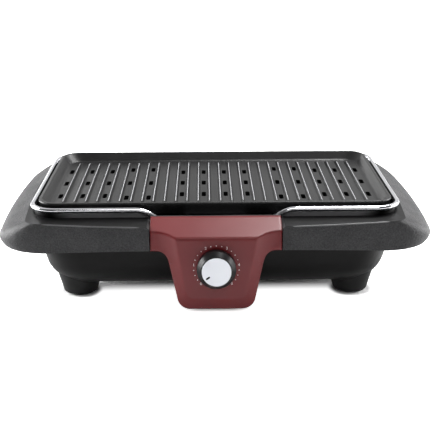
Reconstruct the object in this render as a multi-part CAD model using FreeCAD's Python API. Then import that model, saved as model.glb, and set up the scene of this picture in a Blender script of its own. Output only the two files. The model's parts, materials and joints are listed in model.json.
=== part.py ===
import FreeCAD, Part
import math
import os

# Tabletop electric grill with a lift-off ribbed plate. A drip tray stands in a moulded base with
# two side wings, and a control unit with its heating element drops into a notch in the front.
# Millimetres. X runs to the right, Y to the back, Z up from the table. The origin is on the
# table, in the middle of the footprint.

V = FreeCAD.Vector
CUT_PAST = 1.0              # cutting tools run this far past the face they open

# Grill plate
PLATE_Y = 13.0              # middle of the plate, behind the middle of the footprint
PLATE_WIDTH = 400.0
PLATE_DEPTH = 220.0
PLATE_TOP_Z = 118.0
PLATE_HEIGHT = 14.5
PLATE_CORNER = 22.0
PLATE_DRAFT = 4.0           # the outside leans in this far from the rim to the foot
PLATE_RIM = 4.0             # width of the flat top of the rim
PLATE_WELL = 10.3           # rim down to the cooking floor
PLATE_WELL_RUN = 8.0        # the inside wall slopes in this far
PLATE_WELL_FILLET = 6.0
PLATE_EDGE_FILLET = 1.4
RIB_PITCH = 12.92
RIB_HEIGHT = 3.2
RIB_BASE = 4.6
RIB_CROWN = 1.5             # width across the rounded top
RIB_CROWN_RISE = 0.7
RIB_LENGTH = 184.0
RIB_END_RUN = 13.0          # the ends of a rib slope down over this length
DRAIN_WIDTH = 5.2
DRAIN_LENGTH = 16.5
SLOT_END_FLAT = 0.6         # straight bit left at the rounded ends of a slot
DRAIN_STEP = 2              # drained grooves are this many grooves apart
# How far the outer rows of slots stand from the middle row, in the columns at the ends of the plate,
# in those further in and in the ones beside its middle
END_SPREAD = 50.5
INNER_SPREAD = 58.0
MIDDLE_SPREAD = 46.0
END_COLUMNS = 3
INNER_COLUMNS = 2
MIDDLE_COLUMNS = 2

# Drip tray
SEAT_GAP = 0.3              # play under every piece that only stands on another one
TRAY_SHEET = 1.0
TRAY_GAP = 4.2              # plate rim to the tray's upper wall
TRAY_CORNER = 26.0
TRAY_BASIN_INSET = 13.0     # upper wall in to the basin, which leaves the shoulder for the plate
TRAY_BASIN_CORNER = 22.0
TRAY_FLOOR_INSET = 8.0      # the basin narrows this far down to its floor
TRAY_FLOOR_Z = 50.0
RIM_DIAMETER = 5.6
RIM_OUTSET = 1.5            # middle of the rolled rim outside the middle of the wall
RIM_DROP = 3.3              # top of the rolled rim under the top of the plate
DIP_MARGIN = 17.5           # the front rim starts to dip this far outside the panel's flange
DIP_Z = 79.5                # middle of the rim at the bottom of the dip
DIP_SLOPE = 60.0            # degrees
DIP_TOP_BEND = 30.0
DIP_LOW_BEND = 15.0

# Base housing
BASE_WALL = 3.0
BASE_GAP = 1.5              # opening round the tray's upper wall
LEDGE_Z = 103.5
FRONT_BOW_R = 1140.0        # plan radius of the bowed front and back
SIDE_BOW_R = 1250.0         # plan radius of the bowed ends
# Plan sections of the outer skirt: height, half width, half depth, corner radius
SKIRT_LOW = (70.5, 246.0, 156.0, 52.0)
SKIRT_WIDE = (78.0, 249.4, 155.6, 48.0)
SKIRT_SLOPE = (93.0, 235.0, 154.4, 27.0)
CREASE_HALF_WIDTH = 216.0
CREASE_HALF_DEPTH = 153.0
CREASE_CORNER = 18.0
ARCH_RISE = 8.0             # the skirt's lower edge rises this far to the middle of the front and back
ARCH_HALF_WIDTH = 190.0
TUB_FLOOR_Z = 16.0          # underside of the tub
TUB_SIDE_DRAFT = 15.0       # the tub's sides lean in from the ledge to the floor
TUB_END_DRAFT = 6.0
TUB_CORNER = 60.0
TUB_FILLET = 32.0
TRAY_RIB_THICKNESS = 3.0
TRAY_RIB_X = 118.5          # ribs on the tub's long walls, either side of its middle
TRAY_RIB_Y = 50.6           # ribs on its end walls
TRAY_RIB_REACH = 13.0       # support ribs stand this far in from the tub's wall
TRAY_RIB_CLEARANCE = 1.5
NOTCH_CLEARANCE = 0.6
VENT_LENGTH = 44.0
VENT_WIDTH = 5.0
VENT_PITCH = 12.0
VENT_COUNT = 9
VENT_ROW_Y = 42.0           # rows of vent slots either side of the tub's middle

# Feet
FOOT_X = 159.0
FOOT_Y = 77.0
FOOT_TOP_R = 28.5
FOOT_LOW_R = 19.5
FOOT_SHOULDER = 36.0        # height that the foot's body runs up to before the tub cuts it
FOOT_EDGE_FILLET = 3.0
PAD_R = 14.0
PAD_THICKNESS = 4.0
PAD_PROUD = 1.5
FOOT_SCREW_R = 2.0
FOOT_SCREW_HEAD_R = 4.0
FOOT_SCREW_HEAD = 2.5
FOOT_SCREW_LENGTH = 20.0
SCREW_CLEARANCE = 0.15

# Control panel
PANEL_REAR = 126.0          # rear plane of the panel, in front of the plate's middle
PANEL_TOP_Z = 107.7
FLANGE_WING = 12.9          # the flange stands out this far beside the top of the boss
FLANGE_FRONT = 150.0        # front edge of the flange's top, in front of the plate's middle
FLANGE_LOW_Z = 77.3
FACE_TOP = 161.0            # front face of the panel at its top, in front of the plate's middle
FACE_TOP_Z = 94.7
FACE_LOW = 165.5
FACE_LOW_Z = 26.0
FACE_TOP_HALF = 43.9
FACE_LOW_HALF = 32.1
FACE_CORNER = 10.0
BEVEL_DEPTH = 6.0           # the bevel round the face runs back this far at the bottom
BOSS_LOW_Z = 12.0
BOSS_TOP_HALF = 58.6
BOSS_LOW_HALF = 40.2
BOSS_CORNER = 14.0
BOSS_DRAFT = 1.0            # the boss is this much larger all round at its rear
PANEL_WALL = 2.6
PANEL_EDGE_FILLET = 3.2
FLANGE_EDGE_FILLET = 1.2
PANEL_BLEND = 13.0          # hollow blend between the boss and the flange's underside
FOLD_BLEND = 34.0           # hollow blend between the bevel and the flange's front
REAR_COVER = 2.5
PANEL_SCREW_R = 1.5
PANEL_SCREW_HEAD_R = 2.9
PANEL_SCREW_HEAD = 1.6
PANEL_SCREW_LENGTH = 14.0
PANEL_BOSS_R = 3.6
PANEL_BOSSES = ((30.0, 28.0), (42.0, 84.0))   # half spacing and height of each pair

# Dial and thermostat
DIAL_Z = 61.5
KNOB_R = 21.0
KNOB_GAP = 1.0
KNOB_SKIRT = 8.5            # straight part of the knob's side
KNOB_HEIGHT = 15.2
KNOB_TOP_R = 17.0
KNOB_WALL = 1.8
CAP_R = 15.7
CAP_THICKNESS = 1.6
CAP_PROUD = 0.7
POINTER_LENGTH = 4.8
POINTER_WIDTH = 2.0
POINTER_REACH = 13.6        # outer end of the pointer from the knob's axis
POINTER_DEPTH = 0.6
POINTER_ANGLE = 235.0       # degrees clockwise from the top, a little past the off mark
SPINDLE_R = 3.0
SPINDLE_CLEARANCE = 0.08
BORE_CLEARANCE = 0.35       # spindle in the panel and bracket, which don't guide it
HUB_R = 6.2
HUB_DEPTH = 11.0
SPINDLE_BACK = 14.0         # spindle runs this far behind the panel's front face
THERMOSTAT_SIDE = 34.0
THERMOSTAT_DEPTH = 15.0
BRACKET_WIDTH = 30.0
BRACKET_HEIGHT = 40.0
BRACKET_THICKNESS = 1.2
BRACKET_SCREW_SPACING = 26.0
BRACKET_SCREW_R = 1.6
BRACKET_SCREW_HEAD_R = 2.8
BRACKET_SCREW_HEAD = 0.8
BRACKET_SCREW_TIP = 2.0     # past the bracket

# Heating element
ELEMENT_R = 3.3
ELEMENT_Z = 90.0
TERMINAL_HALF = 21.0        # half spacing of the two cold ends
ELEMENT_FRONT = 76.0        # front run, in front of the plate's middle
ELEMENT_SIDE = 162.0
ELEMENT_BACK = 74.0
ELEMENT_INNER_HALF = 58.0
ELEMENT_INNER_FRONT = 34.0
ELEMENT_BEND = 20.0
NECK_HALF_WIDTH = 34.0
NECK_TOP_Z = 97.0
NECK_WALL = 1.5
NECK_BACK = 96.0            # inner end of the neck, in front of the plate's middle
COLD_END = 140.0            # front tip of the cold ends, in front of the plate's middle
TERMINAL_R = 1.6
TERMINAL_LENGTH = 9.0
INSULATOR_R = 4.6
INSULATOR_LENGTH = 6.0
SUPPORT_X = 108.0
SUPPORT_WIDTH = 10.0
SUPPORT_THICKNESS = 1.5
SUPPORT_FOOT = 8.0

# Cord gland
GLAND_X = 16.0
GLAND_Z = 30.0
GLAND_R = 5.5
GLAND_FLANGE_R = 7.5
GLAND_BORE_R = 3.6
GLAND_FLANGE = 2.0

FLAT = 1e-3                 # two places this close count as one

# Places worked out from the sizes above
PLATE_FOOT_Z = PLATE_TOP_Z - PLATE_HEIGHT
COOKING_Z = PLATE_TOP_Z - PLATE_WELL
FLOOR_HALF = PLATE_WIDTH / 2 - PLATE_RIM - PLATE_WELL_RUN
RIBS_PER_SIDE = int((FLOOR_HALF - DRAIN_WIDTH / 2) / RIB_PITCH)
RIB_COUNT = 2 * RIBS_PER_SIDE
TRAY_HALF_WIDTH = PLATE_WIDTH / 2 + TRAY_GAP
TRAY_HALF_DEPTH = PLATE_DEPTH / 2 + TRAY_GAP
BASIN_HALF_WIDTH = TRAY_HALF_WIDTH - TRAY_BASIN_INSET
BASIN_HALF_DEPTH = TRAY_HALF_DEPTH - TRAY_BASIN_INSET
RIM_Z = PLATE_TOP_Z - RIM_DROP - RIM_DIAMETER / 2
OPENING_HALF_WIDTH = TRAY_HALF_WIDTH + TRAY_SHEET + BASE_GAP
OPENING_HALF_DEPTH = TRAY_HALF_DEPTH + TRAY_SHEET + BASE_GAP
OPENING_CORNER = TRAY_CORNER + TRAY_SHEET + BASE_GAP
SHOULDER_Z = PLATE_FOOT_Z - SEAT_GAP
TRAY_SEAT_Z = SHOULDER_Z - TRAY_SHEET - SEAT_GAP
FLANGE_HALF_WIDTH = BOSS_TOP_HALF + FLANGE_WING
DIP_REACH = FLANGE_HALF_WIDTH + DIP_MARGIN
NECK_LOW_Z = DIP_Z + RIM_DIAMETER / 2 + SEAT_GAP
FACE_LEAN = math.atan2(FACE_LOW - FACE_TOP, FACE_TOP_Z - FACE_LOW_Z)
FACE_NORMAL = V(0, -math.cos(FACE_LEAN), math.sin(FACE_LEAN))
FACE_UP = V(0, math.sin(FACE_LEAN), math.cos(FACE_LEAN))


def in_front(distance):
    """Y of a place that lies that far in front of the plate's middle."""
    return PLATE_Y - distance


def face_distance(z):
    """How far in front of the plate's middle the panel's face is at that height."""
    return FACE_TOP + (FACE_TOP_Z - z) * math.tan(FACE_LEAN)


DIAL = V(0, in_front(face_distance(DIAL_Z)), DIAL_Z)


def arc(a, b, c):
    return Part.Arc(a, b, c).toShape()


def line(a, b):
    return Part.LineSegment(a, b).toShape()


def face_of(points):
    """A flat face bounded by straight lines through the points."""
    return Part.Face(Part.makePolygon(list(points) + [points[0]]))


def box(x0, x1, y0, y1, z0, z1):
    return Part.makeBox(x1 - x0, y1 - y0, z1 - z0, V(x0, y0, z0))


def mirrored(shape):
    """The shape on the other side of the middle plane X = 0."""
    return shape.mirror(V(0, 0, 0), V(1, 0, 0))


def both_sides(shape):
    return [shape, mirrored(shape)]


def loft(*wires, ruled=True):
    return Part.makeLoft(list(wires), True, ruled)


def outline(side_points, corner_mids, side_mids, z):
    """Closed plan outline of four sides and four corner arcs, about the plate's middle."""
    def at(point):
        return V(point[0], PLATE_Y + point[1], z)

    edges = []
    for side in range(4):
        start, end = side_points[side]
        follow = side_points[(side + 1) % 4][0]
        if side_mids:
            edges.append(arc(at(start), at(side_mids[side]), at(end)))
        else:
            edges.append(line(at(start), at(end)))
        edges.append(arc(at(end), at(corner_mids[side]), at(follow)))
    return Part.Wire(edges)


def four_corners(front_end, side_start, corner_mid):
    """Side ends and corner middles of a doubly symmetric outline, from its front right corner."""
    (fx, fy), (sx, sy), (cx, cy) = front_end, side_start, corner_mid
    sides = [
        ((-fx, fy), (fx, fy)), ((sx, sy), (sx, -sy)),
        ((fx, -fy), (-fx, -fy)), ((-sx, -sy), (-sx, sy)),
    ]
    corners = [(cx, cy), (cx, -cy), (-cx, -cy), (-cx, cy)]
    return sides, corners


def rounded_rectangle(half_width, half_depth, radius, z):
    """Plan outline with straight sides."""
    inset = radius * (1 - math.sqrt(0.5))
    sides, corners = four_corners(
        (half_width - radius, -half_depth),
        (half_width, -half_depth + radius),
        (half_width - inset, -half_depth + inset),
    )
    return outline(sides, corners, None, z)


def bowed_outline(z, half_width, half_depth, radius):
    """Plan outline with bowed sides and corners tangent to them."""
    front = V(0, FRONT_BOW_R - half_depth, 0)
    side = V(half_width - SIDE_BOW_R, 0, 0)
    front_reach, side_reach = FRONT_BOW_R - radius, SIDE_BOW_R - radius
    apart = side - front
    along = (front_reach**2 - side_reach**2 + apart.Length**2) / (2 * apart.Length)
    off = math.sqrt(front_reach**2 - along**2)
    unit = apart / apart.Length
    centre = front + unit * along + V(-unit.y, unit.x, 0) * off
    if centre.y > 0:
        centre = front + unit * along - V(-unit.y, unit.x, 0) * off
    to_front = (centre - front).normalize()
    to_side = (centre - side).normalize()
    front_end = front + to_front * FRONT_BOW_R
    side_start = side + to_side * SIDE_BOW_R
    mid = centre + (to_front + to_side).normalize() * radius
    sides, corners = four_corners((front_end.x, front_end.y), (side_start.x, side_start.y), (mid.x, mid.y))
    side_mids = [(0, -half_depth), (half_width, 0), (0, half_depth), (-half_width, 0)]
    return outline(sides, corners, side_mids, z)


def slot(x, y, length, width, z0, z1):
    """Upright block with rounded ends, for a slot that runs along Y."""
    block = box(x - width / 2, x + width / 2, y - length / 2, y + length / 2, z0, z1)
    upright = [e for e in block.Edges if abs(e.Vertexes[0].Z - e.Vertexes[1].Z) > (z1 - z0) / 2]
    return block.makeFillet((width - SLOT_END_FLAT) / 2, upright)


def tube(path, radius):
    """Round bar swept along a smooth path of lines and arcs."""
    start = path.OrderedEdges[0]
    point = start.valueAt(start.FirstParameter)
    direction = start.tangentAt(start.FirstParameter)
    section = Part.Wire(Part.makeCircle(radius, point, direction))
    return path.makePipeShell([section], True, False)


def bent_path(points, radii):
    """Path through the points, with an arc of the given radius at each inner point."""
    edges, here = [], points[0]
    for before, corner, after, radius in zip(points, points[1:], points[2:], radii):
        back, on = (before - corner).normalize(), (after - corner).normalize()
        half_turn = (math.pi - back.getAngle(on)) / 2
        trim = radius * math.tan(half_turn)
        start, end = corner + back * trim, corner + on * trim
        inward = (back + on).normalize()
        centre = corner + inward * (radius / math.cos(half_turn))
        if (start - here).Length > FLAT:
            edges.append(line(here, start))
        edges.append(arc(start, centre - inward * radius, end))
        here = end
    if (points[-1] - here).Length > FLAT:
        edges.append(line(here, points[-1]))
    return Part.Wire(edges)


def on_face(right, up, out):
    """Point given across, up and out from the dial's middle on the panel's face."""
    return DIAL + V(right, 0, 0) + FACE_UP * up + FACE_NORMAL * out


def round_bar(start, direction, radius, length):
    return Part.makeCylinder(radius, length, start, direction)


# Grill plate
def plate_ribs():
    half_base, half_crown = RIB_BASE / 2, RIB_CROWN / 2
    shoulder = COOKING_Z + RIB_HEIGHT - RIB_CROWN_RISE
    foot = COOKING_Z - PLATE_EDGE_FILLET
    y0 = PLATE_Y - RIB_LENGTH / 2
    ribs = []
    for n in range(RIB_COUNT):
        x = (n - (RIB_COUNT - 1) / 2) * RIB_PITCH
        left, right = V(x - half_crown, y0, shoulder), V(x + half_crown, y0, shoulder)
        section = Part.Wire([
            line(V(x - half_base, y0, foot), V(x - half_base, y0, COOKING_Z)),
            line(V(x - half_base, y0, COOKING_Z), left),
            arc(left, V(x, y0, COOKING_Z + RIB_HEIGHT), right),
            line(right, V(x + half_base, y0, COOKING_Z)),
            line(V(x + half_base, y0, COOKING_Z), V(x + half_base, y0, foot)),
            line(V(x + half_base, y0, foot), V(x - half_base, y0, foot)),
        ])
        ribs.append(Part.Face(section).extrude(V(0, RIB_LENGTH, 0)))
    half_span = RIB_COUNT * RIB_PITCH / 2
    top = COOKING_Z + RIB_HEIGHT
    y1 = y0 + RIB_LENGTH
    side_view = [
        (y0, foot), (y1, foot), (y1, COOKING_Z),
        (y1 - RIB_END_RUN, top), (y0 + RIB_END_RUN, top), (y0, COOKING_Z),
    ]
    sloped_ends = face_of([V(-half_span, y, z) for y, z in side_view]).extrude(V(2 * half_span, 0, 0))
    return [rib.common(sloped_ends) for rib in ribs]


def drain_columns():
    """Drained grooves, counted from the plate's middle, each with the spread of its rows."""
    spreads = [END_SPREAD] * END_COLUMNS + [INNER_SPREAD] * INNER_COLUMNS
    columns = [(RIBS_PER_SIDE - DRAIN_STEP * n, spread) for n, spread in enumerate(spreads)]
    columns += [(1 + DRAIN_STEP * n, MIDDLE_SPREAD) for n in range(MIDDLE_COLUMNS)]
    return columns


def drain_slots():
    slots = []
    for groove, spread in drain_columns():
        for row in (-1, 0, 1):
            for side in (-1, 1):
                slots.append(slot(
                    side * groove * RIB_PITCH, PLATE_Y + row * spread, DRAIN_LENGTH, DRAIN_WIDTH,
                    PLATE_FOOT_Z - CUT_PAST, COOKING_Z + RIB_HEIGHT,
                ))
    return slots


def grill_plate():
    half_width, half_depth = PLATE_WIDTH / 2, PLATE_DEPTH / 2
    foot_width, foot_depth = half_width - PLATE_DRAFT, half_depth - PLATE_DRAFT
    body = loft(
        rounded_rectangle(foot_width, foot_depth, PLATE_CORNER - PLATE_DRAFT, PLATE_FOOT_Z),
        rounded_rectangle(half_width, half_depth, PLATE_CORNER, PLATE_TOP_Z),
    )
    run, corner = PLATE_RIM + PLATE_WELL_RUN, PLATE_CORNER - PLATE_RIM
    well = loft(
        rounded_rectangle(half_width - run, half_depth - run, corner, COOKING_Z),
        rounded_rectangle(half_width - PLATE_RIM, half_depth - PLATE_RIM, corner, PLATE_TOP_Z),
    )
    well = well.makeFillet(PLATE_WELL_FILLET, edges_at(well, COOKING_Z))
    dish = body.cut(well)
    dish = dish.makeFillet(PLATE_EDGE_FILLET, edges_at(dish, PLATE_TOP_Z))
    return dish.multiFuse(plate_ribs()).cut(Part.makeCompound(drain_slots())).removeSplitter()


def edges_at(shape, z):
    """Edges that lie in the horizontal plane at that height."""
    return [e for e in shape.Edges if abs(e.BoundBox.ZMin - z) < FLAT and abs(e.BoundBox.ZMax - z) < FLAT]


# Drip tray
def dip_path(offset, y, reach):
    """Front rim with its dip, from left to right, moved up square to itself by the offset."""
    slope = math.radians(DIP_SLOPE)
    half_turn = math.tan(slope / 2)
    straight = RIM_Z - DIP_Z - (DIP_TOP_BEND + DIP_LOW_BEND) * (1 - math.cos(slope))
    run = (DIP_TOP_BEND + DIP_LOW_BEND) * math.sin(slope) + straight / math.tan(slope)
    upper = DIP_REACH - (DIP_TOP_BEND + offset) * half_turn
    lower = DIP_REACH - run + (DIP_LOW_BEND - offset) * half_turn
    top_z, low_z = RIM_Z + offset, DIP_Z + offset
    right = [V(lower, y, low_z), V(upper, y, top_z), V(reach, y, top_z)]
    left = [V(-p.x, p.y, p.z) for p in reversed(right)]
    top_bend, low_bend = DIP_TOP_BEND + offset, DIP_LOW_BEND - offset
    return bent_path(left + right, (top_bend, low_bend, low_bend, top_bend))


def tray_rim():
    half_width = TRAY_HALF_WIDTH + TRAY_SHEET / 2 + RIM_OUTSET
    half_depth = TRAY_HALF_DEPTH + TRAY_SHEET / 2 + RIM_OUTSET
    radius = TRAY_CORNER + TRAY_SHEET / 2 + RIM_OUTSET
    flat = rounded_rectangle(half_width, half_depth, radius, RIM_Z)
    front = dip_path(0, PLATE_Y - half_depth, half_width - radius)
    round_back = Part.Wire(flat.OrderedEdges[1:])
    return tube(front, RIM_DIAMETER / 2).fuse(tube(round_back, RIM_DIAMETER / 2))


def tray_shell(grow, floor_z, shoulder_z, top_z):
    """Outside or inside form of the tray: a basin with a wider upper wall."""
    basin = loft(
        rounded_rectangle(
            BASIN_HALF_WIDTH - TRAY_FLOOR_INSET + grow, BASIN_HALF_DEPTH - TRAY_FLOOR_INSET + grow,
            TRAY_BASIN_CORNER + grow, floor_z,
        ),
        rounded_rectangle(BASIN_HALF_WIDTH + grow, BASIN_HALF_DEPTH + grow, TRAY_BASIN_CORNER + grow, top_z),
    )
    upper = Part.Face(
        rounded_rectangle(TRAY_HALF_WIDTH + grow, TRAY_HALF_DEPTH + grow, TRAY_CORNER + grow, shoulder_z)
    ).extrude(V(0, 0, top_z - shoulder_z))
    return basin.fuse(upper)


def above_dip(offset, y0, y1):
    """Everything above the dipped rim between two depths, moved up by the offset."""
    path = dip_path(offset, y0, DIP_REACH)
    left, right = path.OrderedVertexes[0].Point, path.OrderedVertexes[-1].Point
    lid = V(0, 0, RIM_DIAMETER)
    closing = [line(right, right + lid), line(right + lid, left + lid), line(left + lid, left)]
    return Part.Face(Part.Wire(path.OrderedEdges + closing)).extrude(V(0, y1 - y0, 0))


def drip_tray():
    outside = tray_shell(TRAY_SHEET, TRAY_FLOOR_Z, SHOULDER_Z - TRAY_SHEET, RIM_Z)
    inside = tray_shell(0, TRAY_FLOOR_Z + TRAY_SHEET, SHOULDER_Z, RIM_Z)
    front = PLATE_Y - TRAY_HALF_DEPTH - TRAY_SHEET
    behind = PLATE_Y - BASIN_HALF_DEPTH + TRAY_FLOOR_INSET + TRAY_SHEET
    sheet = outside.cut(inside).cut(above_dip(0, front - TRAY_SHEET, behind))
    below = above_dip(-TRAY_SHEET, front, behind).cut(above_dip(0, front, behind))
    channel = below.common(box(-DIP_REACH, DIP_REACH, front, behind, DIP_Z - TRAY_SHEET, RIM_Z)).cut(inside)
    return sheet.fuse(channel).fuse(tray_rim())


# Base housing
def skirt_form(inset, drop):
    """Outer form of the wings and bands, or the hollow inside them."""
    low_z = SKIRT_LOW[0] - drop
    sections = [(low_z,) + SKIRT_LOW[1:], SKIRT_WIDE, SKIRT_SLOPE,
                (LEDGE_Z, CREASE_HALF_WIDTH, CREASE_HALF_DEPTH, CREASE_CORNER)]
    wires = [
        bowed_outline(z - (inset if z > low_z else 0), width - inset, depth - inset, radius - inset)
        for z, width, depth, radius in sections
    ]
    return loft(*wires, ruled=False)


def tub_form(grow, floor_z, top_z):
    """Outside of the tub, or its inside when it isn't grown."""
    tub = loft(
        rounded_rectangle(
            OPENING_HALF_WIDTH - TUB_SIDE_DRAFT + grow, OPENING_HALF_DEPTH - TUB_END_DRAFT + grow,
            TUB_CORNER + grow, floor_z,
        ),
        rounded_rectangle(OPENING_HALF_WIDTH + grow, OPENING_HALF_DEPTH + grow, OPENING_CORNER + grow, top_z),
    )
    return tub.makeFillet(TUB_FILLET - BASE_WALL + grow, edges_at(tub, floor_z))


def arch_cutter():
    """Cuts the skirt's lower edge to a shallow arch at the front and back."""
    z0 = SKIRT_LOW[0]
    y0 = PLATE_Y - 2 * SKIRT_LOW[2]
    bow = Part.Wire([
        arc(V(-ARCH_HALF_WIDTH, y0, z0), V(0, y0, z0 + ARCH_RISE), V(ARCH_HALF_WIDTH, y0, z0)),
        line(V(ARCH_HALF_WIDTH, y0, z0), V(-ARCH_HALF_WIDTH, y0, z0)),
    ])
    return Part.Face(bow).extrude(V(0, 4 * SKIRT_LOW[2], 0))


def tray_ribs(cavity):
    """Upright ribs on the tub's wall that carry the tray's shoulder."""
    half = TRAY_RIB_THICKNESS / 2
    end_reach, long_reach = TRAY_RIB_REACH + TUB_SIDE_DRAFT, TRAY_RIB_REACH + TUB_END_DRAFT
    basin = tray_shell(
        TRAY_SHEET + TRAY_RIB_CLEARANCE, TRAY_FLOOR_Z - TRAY_RIB_CLEARANCE, TRAY_SEAT_Z + SEAT_GAP, RIM_Z,
    )
    ribs = []
    for side in (-1, 1):
        for end in (-1, 1):
            x, y = side * OPENING_HALF_WIDTH, PLATE_Y + end * TRAY_RIB_Y
            ribs.append(box(x - end_reach, x + end_reach, y - half, y + half, TUB_FLOOR_Z, TRAY_SEAT_Z))
            x, y = side * TRAY_RIB_X, PLATE_Y + end * OPENING_HALF_DEPTH
            ribs.append(box(x - half, x + half, y - long_reach, y + long_reach, TUB_FLOOR_Z, TRAY_SEAT_Z))
    return [rib.common(cavity).cut(basin) for rib in ribs]


def vent_slots():
    slots = []
    for row in (-1, 1):
        for n in range(VENT_COUNT):
            x = (n - (VENT_COUNT - 1) / 2) * VENT_PITCH
            slots.append(slot(
                x, PLATE_Y + row * VENT_ROW_Y, VENT_LENGTH, VENT_WIDTH,
                TUB_FLOOR_Z - CUT_PAST, TUB_FLOOR_Z + BASE_WALL + CUT_PAST,
            ))
    return slots


def base_housing():
    skirt = skirt_form(0, 0)
    hollow = skirt_form(BASE_WALL, CUT_PAST)
    tub = tub_form(BASE_WALL, TUB_FLOOR_Z, LEDGE_Z)
    cavity = tub_form(0, TUB_FLOOR_Z + BASE_WALL, LEDGE_Z + CUT_PAST)
    notch_half = FLANGE_HALF_WIDTH + NOTCH_CLEARANCE
    tub_front = PLATE_Y - OPENING_HALF_DEPTH - BASE_WALL
    far_front = PLATE_Y - 2 * SKIRT_LOW[2]
    end_wall = box(notch_half, notch_half + BASE_WALL, far_front, tub_front + BASE_WALL, 0, LEDGE_Z)
    end_walls = both_sides(skirt.common(end_wall))
    shell = skirt.cut(hollow).multiFuse(end_walls + [tub]).cut(arch_cutter().cut(tub)).cut(cavity)
    notch = box(-notch_half, notch_half, far_front, tub_front + BASE_WALL, 0, LEDGE_Z + CUT_PAST).cut(tub)
    window = above_dip(-RIM_DIAMETER / 2 - BASE_GAP, far_front, PLATE_Y - BASIN_HALF_DEPTH)
    shell = shell.multiFuse(tray_ribs(cavity)).cut(notch).cut(window)
    holes, bosses = vent_slots(), []
    for x, y in foot_places():
        holes.append(round_bar(V(x, y, 0), V(0, 0, 1), FOOT_SCREW_R + SCREW_CLEARANCE, LEDGE_Z))
        start = V(x, y, TUB_FLOOR_Z + BASE_WALL / 2)
        boss = round_bar(start, V(0, 0, 1), FOOT_SCREW_HEAD_R, FOOT_SCREW_LENGTH - BASE_WALL)
        bosses.append(boss.common(cavity))
    shell = shell.multiFuse(bosses).cut(Part.makeCompound(holes))
    return shell.removeSplitter()


# Feet
def foot_places():
    return [(x, PLATE_Y + y) for y in (-FOOT_Y, FOOT_Y) for x in (-FOOT_X, FOOT_X)]


def foot(x, y, tub):
    body = Part.makeCone(FOOT_LOW_R, FOOT_TOP_R, FOOT_SHOULDER - PAD_PROUD, V(x, y, PAD_PROUD))
    body = body.makeFillet(FOOT_EDGE_FILLET, edges_at(body, PAD_PROUD))
    bores = (
        (PAD_R, PAD_THICKNESS),
        (FOOT_SCREW_HEAD_R, PAD_THICKNESS + FOOT_SCREW_HEAD),
        (FOOT_SCREW_R, FOOT_SHOULDER),
    )
    holes = [round_bar(V(x, y, 0), V(0, 0, 1), radius + SCREW_CLEARANCE, depth) for radius, depth in bores]
    return body.cut(tub).cut(Part.makeCompound(holes))


def foot_pad(x, y):
    return round_bar(V(x, y, 0), V(0, 0, 1), PAD_R, PAD_THICKNESS)


def foot_screw(x, y):
    start, up = V(x, y, PAD_THICKNESS), V(0, 0, 1)
    head = round_bar(start, up, FOOT_SCREW_HEAD_R, FOOT_SCREW_HEAD)
    return head.fuse(round_bar(start, up, FOOT_SCREW_R, FOOT_SCREW_HEAD + FOOT_SCREW_LENGTH))


# Control panel and rear cover
def panel_section(y_low, y_top, low_half, top_half, z_low, z_top, corner):
    """Tapered outline of the panel's boss, which may lean, seen from the front."""
    lean = (y_top - y_low) / (z_top - z_low)

    def at(x, z):
        return V(x, y_low + (z - z_low) * lean, z)

    widen = math.atan2(top_half - low_half, z_top - z_low)
    trim = corner * math.tan((math.pi / 2 - widen) / 2)
    side_x = low_half + trim * math.sin(widen)
    side_z = z_low + trim * math.cos(widen)
    turn = math.pi / 4 + widen / 2
    centre_x, centre_z = low_half - trim, z_low + corner
    mid_x, mid_z = centre_x + corner * math.cos(turn), centre_z - corner * math.sin(turn)
    return Part.Wire([
        line(at(-top_half, z_top), at(top_half, z_top)),
        line(at(top_half, z_top), at(side_x, side_z)),
        arc(at(side_x, side_z), at(mid_x, mid_z), at(centre_x, z_low)),
        line(at(centre_x, z_low), at(-centre_x, z_low)),
        arc(at(-centre_x, z_low), at(-mid_x, mid_z), at(-side_x, side_z)),
        line(at(-side_x, side_z), at(-top_half, z_top)),
    ])


def facet_z(distance):
    """Height of the panel's sloping top that far in front of the plate's middle."""
    return PANEL_TOP_Z - (distance - PANEL_REAR) * (PANEL_TOP_Z - FACE_TOP_Z) / (FACE_TOP - PANEL_REAR)


def rear_section(inset, y):
    grow = BOSS_DRAFT - inset
    return panel_section(
        y, y, BOSS_LOW_HALF + grow, BOSS_TOP_HALF + grow,
        BOSS_LOW_Z - grow, PANEL_TOP_Z - inset, BOSS_CORNER + grow,
    )


def bevel_distance(z):
    """How far in front of the plate's middle the bevel starts, which is also the flange's front."""
    low = face_distance(BOSS_LOW_Z) - BEVEL_DEPTH
    top_z = facet_z(FLANGE_FRONT)
    return FLANGE_FRONT + (low - FLANGE_FRONT) * (top_z - z) / (top_z - BOSS_LOW_Z)


def boss_half(z):
    """Half width of the boss where the bevel starts."""
    rise = (z - BOSS_LOW_Z) / (facet_z(FLANGE_FRONT) - BOSS_LOW_Z)
    return BOSS_LOW_HALF + (BOSS_TOP_HALF - BOSS_LOW_HALF) * rise


def face_half(z):
    """Half width of the face inside the bevel."""
    rise = (z - FACE_LOW_Z) / (FACE_TOP_Z - FACE_LOW_Z)
    return FACE_LOW_HALF + (FACE_TOP_HALF - FACE_LOW_HALF) * rise


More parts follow.
